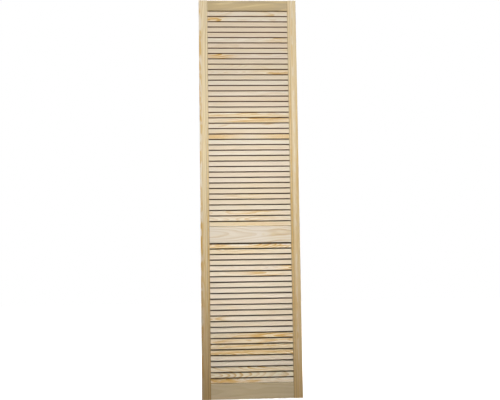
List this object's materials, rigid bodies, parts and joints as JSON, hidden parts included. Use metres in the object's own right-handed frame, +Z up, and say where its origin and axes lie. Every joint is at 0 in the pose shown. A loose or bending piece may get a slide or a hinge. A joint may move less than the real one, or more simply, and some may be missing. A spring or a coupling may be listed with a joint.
{
  "type": "slatted door leaf",
  "caption": "Tall narrow slatted door leaf in bare pine: moulded stiles, flat rails and fixed sloping slats that close a cupboard and still let air through.",
  "frame": {"origin": "on the flat outer edge of the left stile, seen from the front, at the foot of the leaf and in the middle of its thickness", "axes": "+X across the leaf from the hinge edge to the free edge, +Y from the front to the back, +Z up"},
  "size_m": [0.494, 0.021, 1.995],
  "materials": {
    "stile_pine": "planed, unfinished",
    "rail_pine": "planed, unfinished",
    "slat_pine": "planed, unfinished"
  },
  "bodies": {
    "root": {"bottom_rail": "rail_pine", "lower_slat_25": "slat_pine", "lower_slats_01_02": "slat_pine", "lower_slats_03_04": "slat_pine", "lower_slats_05_06": "slat_pine", "lower_slats_07_08": "slat_pine", "lower_slats_09_10": "slat_pine", "lower_slats_11_12": "slat_pine", "lower_slats_13_14": "slat_pine", "lower_slats_15_16": "slat_pine", "lower_slats_17_18": "slat_pine", "lower_slats_19_20": "slat_pine", "lower_slats_21_22": "slat_pine", "lower_slats_23_24": "slat_pine", "middle_rail": "rail_pine", "stile_left": "stile_pine", "stile_right": "stile_pine", "top_rail": "rail_pine", "upper_slats_01_02": "slat_pine", "upper_slats_03_04": "slat_pine", "upper_slats_05_06": "slat_pine", "upper_slats_07_08": "slat_pine", "upper_slats_09_10": "slat_pine", "upper_slats_11_12": "slat_pine", "upper_slats_13_14": "slat_pine", "upper_slats_15_16": "slat_pine", "upper_slats_17_18": "slat_pine", "upper_slats_19_20": "slat_pine", "upper_slats_21_22": "slat_pine", "upper_slats_23_24": "slat_pine", "upper_slats_25_26": "slat_pine", "upper_slats_27_28": "slat_pine", "upper_slats_29_30": "slat_pine", "upper_slats_31_32": "slat_pine", "upper_slats_33_34": "slat_pine", "upper_slats_35_36": "slat_pine", "upper_slats_37_38": "slat_pine", "upper_slats_39_40": "slat_pine"}
  },
  "joints": []
}
